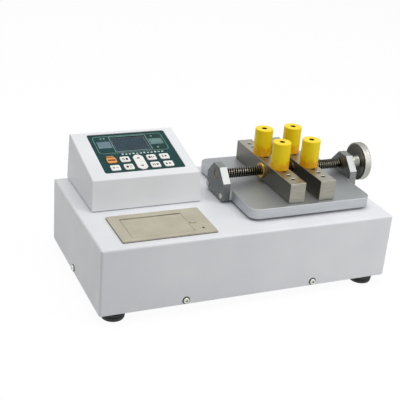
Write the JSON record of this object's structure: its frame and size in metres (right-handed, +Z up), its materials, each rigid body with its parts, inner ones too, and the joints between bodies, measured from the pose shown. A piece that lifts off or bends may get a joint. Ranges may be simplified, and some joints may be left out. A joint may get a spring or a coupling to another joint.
{
  "type": "torque tester",
  "caption": "Bench cap torque tester: white cabinet with sloping keypad console, panel printer, and a two-jaw clamp with four yellow posts closed by a handwheel screw.",
  "frame": {"origin": "middle of the whole outline, on the table under the feet", "axes": "+X to the handwheel side along the front, +Y to the back, +Z up"},
  "size_m": [0.3772, 0.2052, 0.1645],
  "materials": {
    "cover_paint": "fine powder coat",
    "console_paint": "fine powder coat",
    "zinc_steel": "zinc plated",
    "screw_steel": "nickel plated",
    "foot_rubber": "moulded",
    "gasket_foam": "closed-cell foam",
    "overlay_film": "printed film",
    "plain_aluminium": "machined",
    "circuit_board": "solder mask",
    "display_lens": "clear",
    "display_panel": "smooth",
    "orange_key_film": "printed film",
    "white_key_film": "printed film",
    "battery_wrap": "shrink wrap",
    "black_plastic": "moulded",
    "printer_plastic": "fine moulded texture",
    "paper": "thermal paper",
    "platen_rubber": "ground",
    "dark_metal": "black oxide",
    "lamp_lens": "smooth, unlit",
    "cell_steel": "machined",
    "plate_aluminium": "brushed",
    "support_metal": "dark anodised",
    "bronze": "sintered",
    "lead_screw_steel": "rolled thread, oiled",
    "wheel_aluminium": "turned and knurled",
    "jaw_steel": "milled",
    "brass": "turned",
    "yellow_urethane": "cast polyurethane"
  },
  "bodies": {
    "base": {"base_cover": "cover_paint", "chassis_plate": "zinc_steel", "housing_screws": "screw_steel", "rubber_feet": "foot_rubber", "foot_screws": "screw_steel", "console_housing": "console_paint", "console_gasket": "gasket_foam", "keypad_overlay": "overlay_film", "keypad_backing": "plain_aluminium", "key_board": "circuit_board", "lcd_window": "display_lens", "lcd_module": "display_panel", "main_board": "circuit_board", "battery_pack": "battery_wrap", "switch_frame": "black_plastic", "power_socket": "black_plastic", "data_socket": "zinc_steel", "data_screws": "screw_steel", "printer_frame": "printer_plastic", "door_hinge_pin": "screw_steel", "print_head": "dark_metal", "printer_light": "lamp_lens", "pedestal": "plain_aluminium", "torque_cell": "cell_steel", "cell_screws": "dark_metal", "clamp_plate": "plate_aluminium", "plate_screws": "screw_steel", "left_support": "support_metal", "right_support": "support_metal", "support_screws": "screw_steel", "screw_bushes": "bronze"},
    "lead_screw": {"lead_screw": "lead_screw_steel", "handwheel": "wheel_aluminium", "wheel_set_screw": "dark_metal"},
    "left_jaw": {"left_jaw": "jaw_steel", "left_jaw_nut": "brass"},
    "right_jaw": {"right_jaw": "jaw_steel", "right_jaw_nut": "brass"},
    "front_left_post": {"front_left_sleeve": "yellow_urethane", "front_left_pin": "dark_metal"},
    "front_right_post": {"front_right_sleeve": "yellow_urethane", "front_right_pin": "dark_metal"},
    "back_left_post": {"back_left_sleeve": "yellow_urethane", "back_left_pin": "dark_metal"},
    "back_right_post": {"back_right_sleeve": "yellow_urethane", "back_right_pin": "dark_metal"},
    "printer_door": {"printer_door": "printer_plastic"},
    "platen_roller": {"platen_roller": "platen_rubber"},
    "paper_roll": {"paper_roll": "paper"},
    "feed_button": {"feed_button": "printer_plastic"},
    "orange_key": {"orange_key": "orange_key_film"},
    "upper_key_2": {"upper_key_2": "white_key_film"},
    "upper_key_3": {"upper_key_3": "white_key_film"},
    "upper_key_4": {"upper_key_4": "white_key_film"},
    "lower_key_1": {"lower_key_1": "white_key_film"},
    "lower_key_2": {"lower_key_2": "white_key_film"},
    "lower_key_3": {"lower_key_3": "white_key_film"},
    "lower_key_4": {"lower_key_4": "white_key_film"},
    "arrow_key": {"arrow_key": "white_key_film"},
    "switch_rocker": {"switch_rocker": "black_plastic"}
  },
  "joints": [
    {"name": "lead_screw_turn", "type": "hinge", "parent": "base", "child": "lead_screw", "pos_m": [0.07702, 0.0029, 0.12], "axis": [1, 0, 0], "range_deg": [-5520, 984]},
    {"name": "left_jaw_slide", "type": "slide", "parent": "base", "child": "left_jaw", "axis": [1, 0, 0], "range_m": [-0.0461, 0.0083]},
    {"name": "right_jaw_slide", "type": "slide", "parent": "base", "child": "right_jaw", "axis": [-1, 0, 0], "range_m": [-0.0461, 0.0083]},
    {"name": "front_left_post_lift", "type": "slide", "parent": "left_jaw", "child": "front_left_post", "axis": [0, 0, 1], "range_m": [0, 0.016]},
    {"name": "front_right_post_lift", "type": "slide", "parent": "right_jaw", "child": "front_right_post", "axis": [0, 0, 1], "range_m": [0, 0.016]},
    {"name": "back_left_post_lift", "type": "slide", "parent": "left_jaw", "child": "back_left_post", "axis": [0, 0, 1], "range_m": [0, 0.016]},
    {"name": "back_right_post_lift", "type": "slide", "parent": "right_jaw", "child": "back_right_post", "axis": [0, 0, 1], "range_m": [0, 0.016]},
    {"name": "printer_door_hinge", "type": "hinge", "parent": "base", "child": "printer_door", "pos_m": [-0.11017, -0.0808, 0.0921], "axis": [1, 0, 0], "range_deg": [0, 90]},
    {"name": "paper_roll_spin", "type": "hinge", "parent": "base", "child": "paper_roll", "pos_m": [-0.11017, -0.0642, 0.0715], "axis": [1, 0, 0], "continuous": true},
    {"name": "platen_spin", "type": "hinge", "parent": "printer_door", "child": "platen_roller", "pos_m": [-0.11017, -0.0417, 0.0867], "axis": [1, 0, 0], "continuous": true},
    {"name": "feed_button_press", "type": "slide", "parent": "base", "child": "feed_button", "axis": [0, 0, -1], "range_m": [0, 0.0005], "stiffness_N_per_m": 600},
    {"name": "orange_key_press", "type": "slide", "parent": "base", "child": "orange_key", "axis": [0, 0.2011, -0.9796], "range_m": [0, 0.0005], "stiffness_N_per_m": 800},
    {"name": "upper_key_2_press", "type": "slide", "parent": "base", "child": "upper_key_2", "axis": [0, 0.2011, -0.9796], "range_m": [0, 0.0005], "stiffness_N_per_m": 800},
    {"name": "upper_key_3_press", "type": "slide", "parent": "base", "child": "upper_key_3", "axis": [0, 0.2011, -0.9796], "range_m": [0, 0.0005], "stiffness_N_per_m": 800},
    {"name": "upper_key_4_press", "type": "slide", "parent": "base", "child": "upper_key_4", "axis": [0, 0.2011, -0.9796], "range_m": [0, 0.0005], "stiffness_N_per_m": 800},
    {"name": "lower_key_1_press", "type": "slide", "parent": "base", "child": "lower_key_1", "axis": [0, 0.2011, -0.9796], "range_m": [0, 0.0005], "stiffness_N_per_m": 800},
    {"name": "lower_key_2_press", "type": "slide", "parent": "base", "child": "lower_key_2", "axis": [0, 0.2011, -0.9796], "range_m": [0, 0.0005], "stiffness_N_per_m": 800},
    {"name": "lower_key_3_press", "type": "slide", "parent": "base", "child": "lower_key_3", "axis": [0, 0.2011, -0.9796], "range_m": [0, 0.0005], "stiffness_N_per_m": 800},
    {"name": "lower_key_4_press", "type": "slide", "parent": "base", "child": "lower_key_4", "axis": [0, 0.2011, -0.9796], "range_m": [0, 0.0005], "stiffness_N_per_m": 800},
    {"name": "arrow_key_rock", "type": "hinge", "parent": "base", "child": "arrow_key", "pos_m": [-0.10138, 0.02665, 0.13208], "axis": [1, 0, 0], "range_deg": [-2, 2], "stiffness_Nm_per_rad": 0.1},
    {"name": "power_switch_rock", "type": "hinge", "parent": "base", "child": "switch_rocker", "pos_m": [-0.12618, 0.0963, 0.055], "axis": [1, 0, 0], "range_deg": [-16, 0]}
  ],
  "couplings": [
    {"joint": "left_jaw_slide", "follows": "lead_screw_turn", "m_per_rad": 0.00047746},
    {"joint": "right_jaw_slide", "follows": "lead_screw_turn", "m_per_rad": 0.00047746},
    {"joint": "platen_spin", "follows": "paper_roll_spin", "ratio": 3.7778}
  ]
}
